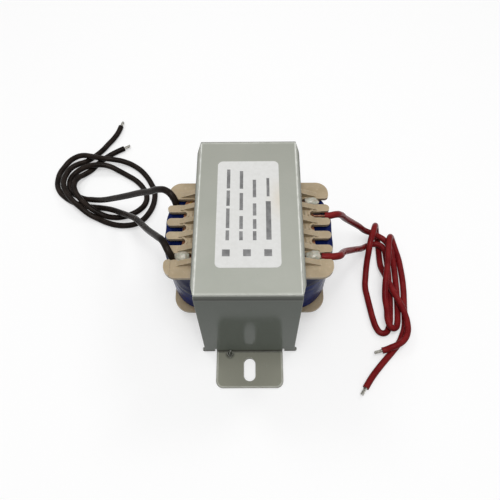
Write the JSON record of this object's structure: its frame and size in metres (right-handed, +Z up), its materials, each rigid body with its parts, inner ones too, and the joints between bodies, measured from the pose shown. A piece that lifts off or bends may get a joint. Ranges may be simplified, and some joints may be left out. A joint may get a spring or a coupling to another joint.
{
  "type": "laminated chassis transformer",
  "caption": "Chassis transformer: interleaved steel laminations in a folded channel frame with slotted feet, a wound bobbin with comb flanges, and free insulated leads.",
  "frame": {"origin": "on the mounting plane, under the centre of the core", "axes": "+Z up from the mounting plane, +Y along the laminations from the near foot to the far foot, +X across the stack of laminations"},
  "size_m": [0.1722, 0.1515, 0.0577],
  "materials": {
    "frame_steel": "satin sheet steel",
    "core_steel": "varnished, dark",
    "bobbin_nylon": "satin moulded",
    "enamelled_copper": "clear enamel",
    "amber_tape": "glossy film",
    "blue_tape": "glossy film",
    "label_film": "matt white film",
    "brown_pvc": "glossy",
    "red_pvc": "glossy",
    "tinned_copper": "tinned",
    "hot_melt": "translucent white"
  },
  "bodies": {
    "root": {"channel_frame": "frame_steel", "e_laminations": "core_steel", "i_laminations": "core_steel", "bobbin": "bobbin_nylon", "primary_winding": "enamelled_copper", "interwinding_tape": "amber_tape", "secondary_winding": "enamelled_copper", "outer_tape": "blue_tape", "rating_label": "label_film", "brown_lead_1": "brown_pvc", "brown_lead_2": "brown_pvc", "red_lead_1": "red_pvc", "red_lead_2": "red_pvc", "brown_strands_1": "tinned_copper", "brown_strands_2": "tinned_copper", "red_strands_1": "tinned_copper", "red_strands_2": "tinned_copper", "magnet_wire_end_1": "enamelled_copper", "magnet_wire_end_2": "enamelled_copper", "glue_dot_1": "hot_melt", "glue_dot_2": "hot_melt", "glue_dot_3": "hot_melt"}
  },
  "joints": []
}
